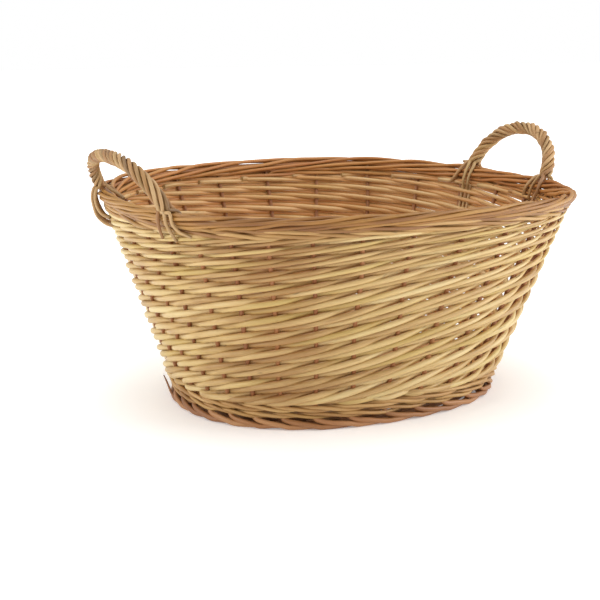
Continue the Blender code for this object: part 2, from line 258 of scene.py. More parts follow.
def willow(name, pale, middle, dark, red, roughness):
    """Willow rod: long fibre streaks, slow changes of tone, small dark knots and darker cut ends,
    with the painted shade and sheen that the rods' tint attribute carries.
    """
    material = bpy.data.materials.new(name)
    material.use_nodes = True
    nodes, links = material.node_tree.nodes, material.node_tree.links
    shader = nodes["Principled BSDF"]
    place = nodes.new("ShaderNodeAttribute")
    place.attribute_name = "rod_place"
    tint = nodes.new("ShaderNodeAttribute")
    tint.attribute_name = "rod_tint"
    tint_parts = nodes.new("ShaderNodeSeparateXYZ")
    links.new(tint.outputs["Vector"], tint_parts.inputs[0])

    def noise(scale, detail, rough=0.55):
        mapping = nodes.new("ShaderNodeMapping")
        mapping.inputs["Scale"].default_value = scale
        links.new(place.outputs["Vector"], mapping.inputs["Vector"])
        texture = nodes.new("ShaderNodeTexNoise")
        texture.inputs["Scale"].default_value = 1.0
        texture.inputs["Detail"].default_value = detail
        texture.inputs["Roughness"].default_value = rough
        links.new(mapping.outputs["Vector"], texture.inputs["Vector"])
        return texture.outputs["Fac"]

    def math_node(operation, a, b=0.0, clamp=False):
        node = nodes.new("ShaderNodeMath")
        node.operation = operation
        node.use_clamp = clamp
        for socket, value in zip(node.inputs, (a, b)):
            if isinstance(value, (int, float)):
                socket.default_value = value
            else:
                links.new(value, socket)
        return node.outputs[0]

    def mix(a, b, factor):
        node = nodes.new("ShaderNodeMix")
        node.data_type = "RGBA"
        for socket, value in ((node.inputs["A"], a), (node.inputs["B"], b)):
            if isinstance(value, tuple):
                socket.default_value = (*value, 1.0)
            else:
                links.new(value, socket)
        links.new(factor, node.inputs["Factor"])
        return node.outputs["Result"]

    def centred(value, weight, clamp=False):
        """Weight times the value's distance from its middle, 0.5."""
        return math_node("MULTIPLY", math_node("SUBTRACT", value, 0.5), weight, clamp)

    fibres = noise((45.0, 1500.0, 1500.0), 4.0, 0.6)
    patches = noise((26.0, 160.0, 160.0), 3.0)
    slow = noise((7.0, 20.0, 20.0), 2.0)
    knots = noise((60.0, 330.0, 330.0), 1.0, 0.4)
    tone = math_node("ADD", centred(tint_parts.outputs["X"], ROD_TONE), slow)
    tone = math_node("ADD", tone, centred(patches, PATCH_TONE))
    tone = math_node("ADD", tone, centred(fibres, FIBRE_TONE), True)
    ramp = nodes.new("ShaderNodeValToRGB")
    ramp.color_ramp.elements[0].position = DARK_UNTIL
    ramp.color_ramp.elements[0].color = (*dark, 1.0)
    ramp.color_ramp.elements[1].position = PALE_FROM
    ramp.color_ramp.elements[1].color = (*pale, 1.0)
    ramp.color_ramp.elements.new(0.5).color = (*middle, 1.0)
    links.new(tone, ramp.inputs["Fac"])
    yellow = centred(noise((4.0, 9.0, 9.0), 1.0), YELLOWING, True)
    yellowed = mix(ramp.outputs["Color"], (middle[0] * 0.97, middle[1] * 1.1, middle[2] * 0.7), yellow)
    # reddening from the tint's redness: partly painted shade on the inner faces and in the browner
    # stretch
    reddened = mix(yellowed, red, math_node("MULTIPLY", tint_parts.outputs["Y"], REDDENING, True))
    spots = math_node("MULTIPLY", math_node("SUBTRACT", knots, KNOT_LEVEL), KNOT_EDGE, True)
    spotted = mix(reddened, tuple(c * 0.35 for c in dark), math_node("MULTIPLY", spots, KNOT_STRENGTH))
    ends = math_node("MULTIPLY", tint_parts.outputs["Z"], END_DARKENING, True)
    colour = mix(spotted, tuple(c * 0.5 for c in dark), ends)
    links.new(colour, shader.inputs["Base Color"])
    gloss = nodes.new("ShaderNodeMapRange")
    gloss.inputs["To Min"].default_value = roughness - SMOOTHER
    gloss.inputs["To Max"].default_value = roughness + ROUGHER
    links.new(patches, gloss.inputs["Value"])
    links.new(gloss.outputs["Result"], shader.inputs["Roughness"])
    bump = nodes.new("ShaderNodeBump")
    bump.inputs["Strength"].default_value = BUMP_STRENGTH
    bump.inputs["Distance"].default_value = BUMP_DEPTH
    height = math_node("SUBTRACT", math_node("ADD", fibres, math_node("MULTIPLY", patches, 0.6)), spots)
    links.new(height, bump.inputs["Height"])
    links.new(bump.outputs["Normal"], shader.inputs["Normal"])
    return material


# RED reddens the inner faces and the browner stretch: partly painted shade, partly the willow's own
# redder tone
RED = (0.62, 0.24, 0.07)
SIDING_WILLOW = willow("siding_willow", (0.67, 0.52, 0.255), (0.55, 0.37, 0.148), (0.35, 0.19, 0.06),
                       RED, 0.42)
WALE_WILLOW = willow("wale_willow", (0.525, 0.325, 0.127), (0.425, 0.235, 0.074), (0.245, 0.106, 0.029),
                     RED, 0.45)
# the border willow is darker than the siding: painted shade of the border, which the side lamps reach
# less
BORDER_WILLOW = willow("border_willow", (0.42, 0.22, 0.056), (0.33, 0.148, 0.030), (0.19, 0.070, 0.014),
                       RED, 0.42)
FOOT_WILLOW = willow("foot_willow", (0.48, 0.255, 0.104), (0.355, 0.162, 0.058), (0.187, 0.077, 0.025),
                     (0.34, 0.13, 0.046), 0.45)
# the stake willow is darker than the siding: painted shade of the stakes seen in the gaps of the weave
STAKE_WILLOW = willow("stake_willow", (0.42, 0.20, 0.08), (0.28, 0.115, 0.036), (0.15, 0.055, 0.016),
                      (0.32, 0.11, 0.035), 0.5)
HANDLE_WILLOW = willow("handle_willow", (0.54, 0.38, 0.19), (0.38, 0.24, 0.10), (0.19, 0.10, 0.038),
                       RED, 0.5)


# ---- siding ----
SIDING_PITCH = 0.0201                    # from one crossing on a stake's inside to the next above it
SPIRAL_PITCHES = 4                       # pitches by which the weave climbs in one round of the wall
SIDING_LEVEL = SIDING_PITCH / 3          # three rods share a pitch: two outside a stake, one inside
SIDING_CLIMB = SIDING_LEVEL + SIDING_PITCH * SPIRAL_PITCHES / STAKE_COUNT    # of a rod, per stake
SIDING_RODS = STAKE_COUNT + 3 * SPIRAL_PITCHES
SIDING_END_OFFSET = -0.0040              # a rod's ends rest inside, beside a stake
FIRST_CROSSING = 0.0213                  # height of an inside crossing, carried back to stake 0
CROSSING_LIFT = 0.0010                   # inside crossings ride this much higher at the far right
LIFT_TOWARD, LIFT_REACH = (0.55, 0.85), 0.12     # the lift's direction in X and Y, and its reach
THINNING_FROM = 0.140                    # height from which the rods thin out toward their tips
THINNING = 5.9                           # share of their thickness that they lose per metre of height
LEAST_NEAR, LEAST_FAR = 0.12, 0.40       # share of the thickness that never thins out, by side
FULL_SHARE = 1.05                        # thickness of the far rods, as a share of SIDING_RADIUS
NEAR_SLIMMING, RIGHT_SLIMMING = 0.05, 0.24       # share that the near rods lack, and more to the right
SAG_STAKE, SAG_WIDTH, SAG_DEPTH = 18.0, 2.4, 0.0055      # place and width in stakes, depth in metres
SHADE_STAIN_STAKE, SHADE_STAIN_WIDTH = 17.0, 1.7     # a browner, darker stretch of the near side, in stakes: painted shade where the wall faces away from the side lamps, partly the willow's own browner tone
SHADE_STAIN_REDNESS, SHADE_STAIN_DARKNESS = 0.36, 0.45
FAR_LIGHTNESS = 0.35
INNER_SHADE_REDNESS, SHADE_BEHIND_STAKES = 0.36, 0.5         # painted shade: redness of the inner faces, and the surplus behind stakes; partly the willow's own redder inside
SIDE_DEPTH = 0.10                        # distance in Y over which near and far traits fade in


def inner_shade_redness(offset):
    """The inner faces of the rods are redder where they lie behind the stakes. This is painted shade of
    the basket's inside and behind the stakes, partly the willow's own redder inner face.
    """
    return INNER_SHADE_REDNESS + SHADE_BEHIND_STAKES * np.clip(0.5 + offset / (2 * SIDING_OFFSET), 0.0, 1.0)


def shade_and_stain_at(index):
    """How strong the browner stretch is at a running stake index. The stretch is painted shade,
    partly the willow's own browner tone.
    """
    return np.exp(-((np.mod(index, STAKE_COUNT) - SHADE_STAIN_STAKE) / SHADE_STAIN_WIDTH) ** 2)


def sag(index, z):
    """The weave sags a little where the wall turns into the near long side."""
    share = np.clip((z - SIDING_LOW) / (SIDING_HIGH - SIDING_LOW), 0.0, 1.0)
    return -SAG_DEPTH * np.exp(-((index - SAG_STAKE) / SAG_WIDTH) ** 2) * np.sin(math.pi * share)


def packed(height):
    """Real height of a place in a weave of even pitch: the thinner tips pack closer together."""
    above = np.maximum(height - THINNING_FROM, 0.0)
    return np.minimum(height, THINNING_FROM) + (1.0 - np.exp(-THINNING * above)) / THINNING


def unpacked(z):
    return THINNING_FROM - math.log(1.0 - THINNING * (z - THINNING_FROM)) / THINNING


def siding_path(member, low, high):
    """One siding rod, over two stakes and under one, as stake index, height and offset."""
    start = (low - FIRST_CROSSING - member * SIDING_LEVEL) / SIDING_CLIMB
    first, last = math.ceil(start), math.floor(start + (high - low) / SIDING_CLIMB)
    knots = []
    for j in range(first - 1, last + 2):         # one stake past each limit, at the limit's height
        height = FIRST_CROSSING + member * SIDING_LEVEL + j * SIDING_CLIMB
        inside = (member + j) % 3 == 0
        z = packed(np.clip(height, low, high + 0.002)) + rng.normal(0, 0.00025)
        if inside:
            x, y, _ = wall(j, z, 0.0)
            toward = (LIFT_TOWARD[0] * x + LIFT_TOWARD[1] * y) / LIFT_REACH
            z += CROSSING_LIFT * np.clip(toward, -1.4, 1.0)
        knots.append((j, z, (-SIDING_OFFSET if inside else SIDING_OFFSET) + rng.normal(0, 0.00035)))
    knots.insert(0, (first - 1.5, knots[0][1], SIDING_END_OFFSET))
    knots.append((last + 1.5, knots[-1][1], SIDING_END_OFFSET))
    return smooth(knots, 7)


def make_siding():
    """Rods that climb to the right in a weave that spirals upward, and thin out toward the rim."""
    rods = Rods(10)
    low, high = SIDING_LOW + SIDING_RADIUS, unpacked(SIDING_HIGH - 0.0018)
    for member in range(SIDING_RODS):
        path = siding_path(member, low, high)
        thinned = np.minimum(1.0, 1.0 - THINNING * (path[:, 1] - THINNING_FROM))
        path[:, 1] += sag(np.mod(path[:, 0], STAKE_COUNT), path[:, 1])
        points = wall(path[:, 0], path[:, 1], path[:, 2])
        near = np.clip(-points[:, 1] / SIDE_DEPTH, 0.0, 1.0)
        far = np.clip(points[:, 1] / SIDE_DEPTH, 0.0, 1.0)
        right = np.clip(points[:, 0] / RIM_HIGH.x + 0.3, 0.0, 1.0)
        share = FULL_SHARE - near * (NEAR_SLIMMING + RIGHT_SLIMMING * right)
        size = SIDING_RADIUS * rng.uniform(0.94, 1.05) * share
        least = LEAST_NEAR + (LEAST_FAR - LEAST_NEAR) * np.clip(0.5 + points[:, 1] / SIDE_DEPTH, 0.0, 1.0)
        # the browner stretch darkens and reddens the rods: painted shade where the wall faces away from
        # the side lamps, partly the willow's own browner tone
        shade_stain = shade_and_stain_at(path[:, 0])
        redness = rng.uniform(0.0, 0.22) + SHADE_STAIN_REDNESS * shade_stain
        lightness = rng.uniform(0.2, 0.9) - SHADE_STAIN_DARKNESS * shade_stain + FAR_LIGHTNESS * far
        # inner faces reddened: painted shade, partly the willow's own redder inside
        rods.add(points, size * (least + (1.0 - least) * thinned), redness=redness, lightness=lightness,
                 inside_shade_red=inner_shade_redness(path[:, 2]))
    rods.build("siding_rods", SIDING_WILLOW, ["siding_lower", "siding_upper"])


def make_stakes():
    """Side stakes, from inside the base weave round the bend and up into the border."""
    rods = Rods(10)
    for j in range(STAKE_COUNT):
        lean = rng.normal(0, 0.03, 5)
        heights = [BASE_LEVEL + 0.007, 0.06, 0.12, 0.18, RIM_TOP - 0.008]
        inner = wall(j, BASE_LEVEL, -0.03)
        bend = wall(j, BASE_LEVEL, -0.006)
        inner[2] = bend[2] = BASE_LEVEL
        rising = [wall(j + lean[i], z, rng.normal(0, 0.0003)) for i, z in enumerate(heights)]
        path = smooth(np.vstack([inner, bend, *rising]), 5)
        up = wall(j, 0.1, 1.0) - wall(j, 0.1, 0.0)
        sideways = np.array([-up[1], up[0], 0.0])
        size = taper(len(path), STAKE_RADIUS * 1.08, STAKE_RADIUS * 0.92)
        rods.add(path, size, up=sideways, redness=0.5)
    nodes = [f"side_stake_{j + 1:02d}" for j in range(STAKE_COUNT)]
    rods.build("side_stakes", STAKE_WILLOW, nodes)


# ---- waling ----
COURSE_SHIFT = 5                         # stakes by which each course starts further to the right


def make_wale(name, low, rounds, round_height, node):
    """Three-rod waling: each rod passes outside two stakes, then inside one, over the other two."""
    rods = Rods(8)
    for course in range(rounds):
        for member in range(3):
            knots = []
            for step in range(STAKE_COUNT + 2):
                phase = (step - member) % 3
                offset = -WALE_OFFSET if phase == 0 else WALE_OFFSET
                lift = {0: 0.0, 1: 0.25, 2: -0.25}[phase] * round_height
                z = low + round_height * (course + 0.5) + lift + rng.normal(0, 0.0007)
                knots.append((step + course * COURSE_SHIFT, z, offset + rng.normal(0, 0.0005)))
            path = smooth(knots, 6)
            size = WALE_RADIUS * rng.uniform(0.9, 1.12)
            points = wall(path[:, 0], path[:, 1], path[:, 2])
            # inner faces reddened: painted shade, partly the willow's own redder inside
            rods.add(points, taper(len(path), size * 1.08, size * 0.92), redness=rng.uniform(0.0, 0.25),
                     inside_shade_red=inner_shade_redness(path[:, 2]))
    rods.build(name, WALE_WILLOW, [node])


# ---- rim border ----
# A border rod's way, as (stakes to the left of its own stake, height over the rim's top, offset).
BORDER_SHAPE = np.array([
    (0.0, -0.026, 0.0), (0.10, -0.0160, -0.0016), (0.55, -0.0134, -0.0052), (1.2, -0.0100, -0.0070),
    (1.9, -0.0062, -0.0062), (2.5, -0.0026, -0.0028), (3.0, -0.0012, 0.0018), (3.5, -0.0020, 0.0050),
    (4.0, -0.0038, 0.0068), (4.6, -0.0060, 0.0074), (5.3, -0.0086, 0.0070), (6.0, -0.0110, 0.0060),
    (6.4, -0.0124, 0.0036), (6.7, -0.0134, -0.0010),
])
SHEEN_STRETCH, SHEEN_REACH = (-0.26, -0.06), 0.10          # painted sheen: a paler, less red stretch of the border at its left end, X and Y


def make_border():
    """Each stake's top leans left inside two stakes, crosses the crest and runs down outside four."""
    rods = Rods(10)
    for j in range(STAKE_COUNT):
        knots = BORDER_SHAPE.copy()
        knots[1:, 1] += rng.normal(0, 0.0006, len(knots) - 1)
        knots[2:, 2] += rng.normal(0, 0.0005, len(knots) - 2)
        path = smooth(knots, 4)
        size = BORDER_RADIUS * rng.uniform(0.92, 1.08)
        points = wall(j - path[:, 0], RIM_TOP + path[:, 1], path[:, 2])
        # the paler stretch at the left end is a painted sheen from the left lamp
        away = np.hypot(points[:, 0] - SHEEN_STRETCH[0], points[:, 1] - SHEEN_STRETCH[1])
        pale = np.exp(-(away / SHEEN_REACH) ** 2)
        redness = rng.uniform(0.0, 0.2) - 0.2 * pale
        # the browner stretch darkens the border too: painted shade, partly the willow's own browner tone
        lightness = rng.uniform(0.0, 1.0) + 0.7 * pale - SHADE_STAIN_DARKNESS * shade_and_stain_at(j - path[:, 0])
        rods.add(points, taper(len(path), size * 1.1, size * 0.88), up=(0.3, 0.2, 1.0),
                 redness=redness, lightness=lightness, inside_shade_red=0.5)
    for start in range(0, STAKE_COUNT, 6):       # short rods that pack the middle of the border
        along = np.linspace(start, start + 6.3, 44)
        rods.add(wall(along, RIM_TOP - 0.0078, 0.0), PACKING_RADIUS, redness=0.5, lightness=-0.3)
    rods.build("rim_border_rods", BORDER_WILLOW, ["rim_border"])


# ---- foot border ----
FOOT_GROUND = FOOT_RADIUS + 0.0001       # height of a rod's centre where it lies on the ground
# A foot rod's way, as (stakes to the right of its own stake, height, offset).
FOOT_SHAPE = np.array([
    (-0.10, FOOT_HIGH.z + 0.010, 0.0), (-0.04, FOOT_HIGH.z + 0.0005, 0.0030),
    (0.12, FOOT_HIGH.z - 0.0030, 0.0060), (0.45, FOOT_HIGH.z - 0.0050, 0.0082),
    (0.9, FOOT_GROUND + 0.0018, 0.0094), (1.2, FOOT_GROUND, 0.0094), (1.6, FOOT_GROUND, 0.0078),
    (2.1, FOOT_GROUND, 0.0036), (2.6, FOOT_GROUND, -0.0036), (3.1, FOOT_GROUND + 0.0006, -0.0076),
    (3.9, FOOT_GROUND + 0.0030, -0.0080), (4.7, FOOT_GROUND + 0.0054, -0.0074),
])
FOOT_DRAWN_IN = 0.005                    # the foot border sits this much further in near the right end
DRAWN_IN_AT, DRAWN_IN_WIDTH = 0.95, 0.05         # perimeter fractions
CURL_RADII = (0.0017, 0.0006)
# A loose rod end that curls up at the left, as (perimeter fraction, height, offset).
CURL = [
    (0.475, 0.0060, 0.0092), (0.458, 0.0070, 0.0108), (0.447, 0.0110, 0.0118),
    (0.443, 0.0160, 0.0124), (0.441, 0.0205, 0.0130), (0.440, 0.0240, 0.0136),
]


def make_foot():
    """Foot rods come down beside each stake, bend right and run along the ground."""
    rods = Rods(10)
    for j in range(STAKE_COUNT):
        knots = FOOT_SHAPE.copy()
        knots[:, 0] += rng.normal(0, 0.03)
        knots[1:-2, 1] += rng.normal(0, 0.0004, len(knots) - 3)
        path = smooth(knots, 5)
        path[:, 1] = np.maximum(path[:, 1], FOOT_GROUND)
        size = FOOT_RADIUS * rng.uniform(0.92, 1.0)
        fraction = stake_fraction(j + path[:, 0])
        distance = (np.mod(fraction, 1.0) - DRAWN_IN_AT) / DRAWN_IN_WIDTH
        points = wall_at(fraction, path[:, 1], path[:, 2] - FOOT_DRAWN_IN * np.exp(-distance ** 2))
        rods.add(points, taper(len(path), size, size * 0.9), up=(0.25, 0.15, 1.0), redness=0.4)
    curl = smooth([wall_at(*knot) for knot in CURL], 6)
    rods.add(curl, taper(len(curl), *CURL_RADII), up=(0.25, 0.15, 1.0), redness=0.4)
    rods.build("foot_border_rods", FOOT_WILLOW, ["foot_border"])


# ---- base ----
BASE_RINGS = 30
BASE_FIRST_RING, BASE_LAST_RING = 0.085, 0.985   # as shares of the way from the slath to the edge
BASE_EDGE_INSET = 0.0135                 # from the wall's outer outline
SLATH_HALF = 0.110                       # half the length of the slath, along X
SLATH_EDGE = 0.19                        # X at which the base's edge belongs to the slath's end
CROSS_STICKS = [-0.100 + 0.040 * i for i in range(6)]
CROSS_FAN = 0.150                        # X that would fan a cross stick out to the end of the oval
LONG_STICK_STEP = 0.0062                 # between the long sticks' centres in the slath
LONG_STICK_TURN = 0.34                   # radians by which the outer long sticks fan out


def base_point(angle, share):
    """Base surface: share 0 is the slath's line, share 1 is the edge against the wall."""
    x, y, nx, ny = outline(angle, (BASE_LEVEL - FOOT_LEVEL) / (RIM_LEVEL - FOOT_LEVEL))
    x, y = x - nx * BASE_EDGE_INSET, y - ny * BASE_EDGE_INSET
    middle = np.clip(x / SLATH_EDGE, -1, 1) * SLATH_HALF
    return np.stack([middle + (x - middle) * share, y * share, np.full_like(x, BASE_LEVEL)], axis=-1)


def stick_end(angle):
    return base_point(np.array([angle]), 0.99)[0]


def cross_stick_angle(x, side):
    """Direction of a cross stick's end in the base oval's own parameter angle."""
    return side * (math.pi / 2 - math.asin(x / CROSS_FAN))


def make_base_sticks():
    """Cross sticks, each as two halves from the slath, and long sticks that run through them."""
    sticks = Rods(10)
    for x in CROSS_STICKS:
        for side in (1, -1):
            edge = stick_end(cross_stick_angle(x, side))
            path = smooth([(x, 0, BASE_LEVEL), (x, edge[1] * 0.3, BASE_LEVEL),
                           (x + (edge[0] - x) * 0.5, edge[1] * 0.65, BASE_LEVEL), edge], 5)
            size = taper(len(path), BASE_STICK_RADIUS * 1.1, BASE_STICK_RADIUS * 0.8)
            sticks.add(path, size, redness=0.3)
    for i in (-1, 0, 1):
        left, right = (stick_end(angle) for angle in (math.pi - LONG_STICK_TURN * i, LONG_STICK_TURN * i))
        slath = [(x, i * LONG_STICK_STEP, BASE_LEVEL) for x in (-0.12, -0.05, 0.05, 0.12)]
        sticks.add(smooth([left, *slath, right], 6), BASE_STICK_RADIUS * 0.9, redness=0.3)
    nodes = [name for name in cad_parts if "_stick_" in name]
    sticks.build("base_sticks", STAKE_WILLOW, nodes)


def make_base_weave():
    """Rings of rod that pass over one stick and under the next."""
    weave = Rods(8)
    spokes = [cross_stick_angle(x, side) for x in CROSS_STICKS for side in (1, -1)]
    for end in (0.0, math.pi):
        spokes += [end - LONG_STICK_TURN, end, end + LONG_STICK_TURN]
    spokes = np.sort(np.mod(spokes, 2 * math.pi))
    spokes = np.append(spokes, spokes[:2] + 2 * math.pi)
    for ring in range(BASE_RINGS):
        share = BASE_FIRST_RING + (BASE_LAST_RING - BASE_FIRST_RING) * ring / (BASE_RINGS - 1)
        knots = []
        for i, (angle, after) in enumerate(zip(spokes[:-1], spokes[1:])):
            over = 1 if (i + ring) % 2 == 0 else -1
            knots.append((angle, over * (BASE_STICK_RADIUS + BASE_ROD_RADIUS) * 0.92))
            knots.append(((angle + after) / 2, 0.0))
        path = smooth(knots[:-1], 3)
        points = base_point(path[:, 0], share + rng.normal(0, 0.001))
        points[:, 2] += path[:, 1]
        weave.add(points, BASE_ROD_RADIUS * rng.uniform(0.92, 1.08), redness=0.55)
    weave.build("base_weave_rods", WALE_WILLOW, ["base_weave"])


# ---- handles ----
# legs: perimeter fractions of the near and the far leg. power: of the arch's curve, 1 for an ellipse.
# set_in: of the arch's crown from the end of the CAD bow. lays: length of arch that one turn of the
# rope covers, at the near leg and over the far half. leaves: how far from each foot the strands leave
# the rope. slims_to, tail: thickness of the strands at the far leg and at their far ends. liners:
# rods pushed down beside the far leg, in LEG_STEPs from it.
HANDLES = {
    "left": {"legs": (0.5504, 0.4510), "power": 0.89, "set_in": 0.0065, "lays": (0.085, 0.048),
             "leaves": (0.004, 0.008), "slims_to": 0.84, "tail": 0.9, "liners": ()},
    "right": {"legs": (0.9743, 0.0510), "power": 0.97, "set_in": 0.004, "lays": (0.050, 0.057),
              "leaves": (0.005, 0.006), "slims_to": 1.0, "tail": 0.72, "liners": (-0.10, 0.02, 0.14)},
}
BOW_RADIUS = 0.0034
ARCH_INSET = 0.0065                      # of the arch's feet from the wall's outer outline
CROWN_DROP = 0.004                       # of the arch's centre line under the top of the CAD bow
LEG_DEPTHS = np.array([0.044, 0.030, 0.016])     # of the bow's legs in the wall, under the rim's top
LEG_OFFSETS = np.array([-0.0024, -0.0024, -0.0016])
LEG_RADII = (0.0024, 0.0028, 0.0036)
LINER_DEPTHS, LINER_OFFSET, LINER_RADIUS = (0.016, 0.078), -0.0020, 0.0017
ROPE_STRANDS = 6
ROPE_ROD_RADIUS = 0.0026
HEAD_THICKNESS = 0.72                    # of the strands' near ends, as a share
WAVER_SHARE, WAVER_LENGTH = 0.06, 0.0090         # the strands waver a little in and out
LEG_STEP, LEG_STEP_LENGTH = 0.0328, 0.045        # perimeter fraction, and its rough length
# The rope rods' ends at each leg, as (LEG_STEPs to the right, height over the rim's top, offset).
# Leg 0 is the near one.
LEG_ENDS = {
    ("left", 0): [
        [(-0.10, 0.002, 0.0090), (-0.12, -0.009, 0.0120), (-0.15, -0.019, 0.0110),
         (-0.19, -0.0290, 0.0082)],
        [(0.06, 0.001, 0.0098), (0.10, -0.010, 0.0122), (0.16, -0.020, 0.0112),
         (0.21, -0.0300, 0.0088)],
        [(0.19, 0.001, 0.0088), (0.26, -0.010, 0.0118), (0.38, -0.018, 0.0106),
         (0.60, -0.0235, 0.0076)],
        [(0.12, 0.001, -0.0070), (0.20, -0.010, -0.0092), (0.30, -0.020, -0.0078),
         (0.42, -0.027, -0.0040)],
        [(0.00, 0.001, -0.0085), (0.00, -0.010, -0.0100), (0.00, -0.023, -0.0084),
         (0.02, -0.031, -0.0040)],
        [(-0.12, 0.001, -0.0070), (-0.18, -0.010, -0.0090), (-0.22, -0.018, -0.0076),
         (-0.26, -0.026, -0.0040)],
    ],
    ("left", 1): [
        [(-0.08, 0.002, 0.0100), (-0.10, -0.008, 0.0150), (-0.11, -0.018, 0.0172),
         (-0.10, -0.028, 0.0168), (-0.07, -0.036, 0.0110), (0.00, -0.039, -0.0010)],
        [(0.02, 0.002, 0.0120), (0.01, -0.008, 0.0172), (0.00, -0.019, 0.0192), (0.02, -0.030, 0.0192),
         (0.06, -0.039, 0.0120), (0.10, -0.042, -0.0010)],
        [(0.12, 0.002, 0.0095), (0.12, -0.008, 0.0145), (0.13, -0.018, 0.0158), (0.17, -0.026, 0.0135),
         (0.26, -0.030, 0.0070)],
        [(0.14, 0.003, -0.0060), (0.24, -0.001, -0.0110), (0.32, -0.004, -0.0140),
         (0.40, -0.007, -0.0158)],
        [(0.02, 0.003, -0.0090), (0.08, -0.004, -0.0120), (0.16, -0.010, -0.0140),
         (0.24, -0.014, -0.0152)],
        [(-0.03, 0.002, 0.0085), (0.00, -0.008, 0.0124), (0.03, -0.018, 0.0128), (0.07, -0.028, 0.0100),
         (0.10, -0.035, -0.0010)],
    ],
    ("right", 0): [
        [(-0.14, 0.003, 0.0070), (-0.19, -0.007, 0.0118), (-0.24, -0.016, 0.0104),
         (-0.28, -0.024, 0.0050)],
        [(0.00, 0.002, 0.0090), (0.00, -0.008, 0.0126), (0.01, -0.018, 0.0108), (0.03, -0.028, 0.0050)],
        [(0.14, 0.003, 0.0070), (0.20, -0.007, 0.0118), (0.28, -0.016, 0.0104), (0.42, -0.023, 0.0050)],
        [(0.14, 0.003, -0.0060), (0.22, -0.006, -0.0100), (0.30, -0.014, -0.0092),
         (0.38, -0.024, -0.0040)],
        [(0.00, 0.001, -0.0090), (0.02, -0.009, -0.0115), (0.06, -0.020, -0.0092),
         (0.10, -0.028, -0.0040)],
        [(-0.14, 0.003, -0.0060), (-0.26, -0.004, -0.0115), (-0.26, -0.015, -0.0105),
         (-0.12, -0.024, -0.0060)],
    ],
    ("right", 1): [
        [(-0.14, 0.003, 0.0070), (-0.18, -0.007, 0.0118), (-0.22, -0.016, 0.0104),
         (-0.27, -0.024, 0.0050)],
        [(0.00, 0.002, 0.0090), (0.01, -0.008, 0.0126), (0.03, -0.018, 0.0108), (0.06, -0.028, 0.0050)],
        [(0.13, 0.006, 0.0040), (0.22, 0.0050, 0.0050), (0.29, 0.0046, 0.0064), (0.34, 0.0046, 0.0076)],
        [(0.14, 0.003, -0.0060), (0.24, -0.006, -0.0105), (0.36, -0.015, -0.0106),
         (0.48, -0.022, -0.0080)],
        [(0.00, 0.001, -0.0090), (0.01, -0.009, -0.0122), (0.03, -0.019, -0.0116),
         (0.05, -0.028, -0.0050)],
        [(-0.14, 0.002, -0.0060), (-0.13, -0.009, -0.0112), (-0.11, -0.020, -0.0108),
         (-0.08, -0.028, -0.0050)],
    ],
}


def leg_ends(side, leg, heads):
    """End paths for the strands that arrive at a leg: outer ends to the outermost strands."""
    place = HANDLES[side]["legs"][leg]
    foot = wall_at(place, RIM_TOP, 0.0)
    out = wall_at(place, RIM_TOP, 1.0) - foot
    right = np.array([-out[1], out[0], 0.0])
    turns = [math.atan2((head - foot) @ out, (head - foot) @ right) for head in heads]
    ends = LEG_ENDS[side, leg]
    wanted = [math.atan2(rows[0][2] + ARCH_INSET - STAKE_INSET, rows[0][0] * LEG_STEP_LENGTH)
              for rows in ends]
    chosen = {}
    for strand, target in zip(np.argsort(turns), np.argsort(wanted)):
        rows = np.array(ends[target])
        chosen[strand] = wall_at(place + LEG_STEP * rows[:, 0], RIM_TOP + rows[:, 1], rows[:, 2])
    return chosen


def handle_arch(side):
    """Centre line of the arch from the near foot to the far foot, and the direction across it."""
    handle = HANDLES[side]
    low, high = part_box(f"{side}_handle_bow")
    feet = [wall_at(leg, RIM_TOP, STAKE_INSET - ARCH_INSET) for leg in handle["legs"]]
    centre, half = (feet[0] + feet[1]) / 2, (feet[1] - feet[0]) / 2
    outermost = high.x - handle["set_in"] if side == "right" else low.x + handle["set_in"]
    crown = np.array([outermost - centre[0], 0.0, high.z - CROWN_DROP - centre[2]])
    turn = np.linspace(0.0, math.pi, 81)[:, None]
    along_share = np.sign(np.cos(turn)) * np.abs(np.cos(turn)) ** handle["power"]
    arch = centre - half * along_share + crown * np.abs(np.sin(turn)) ** handle["power"]
    across = np.cross(crown, half)
    return arch, across / np.linalg.norm(across)


def make_bow(side, arch, across):
    """The thick rod inside the rope, with both legs pushed down into the wall."""
    near, far = HANDLES[side]["legs"]
    bow = np.vstack([wall_at(near, RIM_TOP - LEG_DEPTHS, LEG_OFFSETS), arch,
                     wall_at(far, RIM_TOP - LEG_DEPTHS[::-1], LEG_OFFSETS[::-1])])
    thickness = np.full(len(bow), BOW_RADIUS)
    thickness[:3], thickness[-3:] = LEG_RADII, LEG_RADII[::-1]
    rods = Rods(10)
    rods.add(bow, thickness, up=across, redness=0.5, lightness=0.3)
    for drift in HANDLES[side]["liners"]:
        liner = wall_at(far + LEG_STEP * drift, RIM_TOP - np.linspace(*LINER_DEPTHS, 7), LINER_OFFSET)
        rods.add(liner, LINER_RADIUS, up=across, redness=0.2, lightness=0.9)
    rods.build(f"{side}_handle_bow_rod", HANDLE_WILLOW, [f"{side}_handle_bow"])


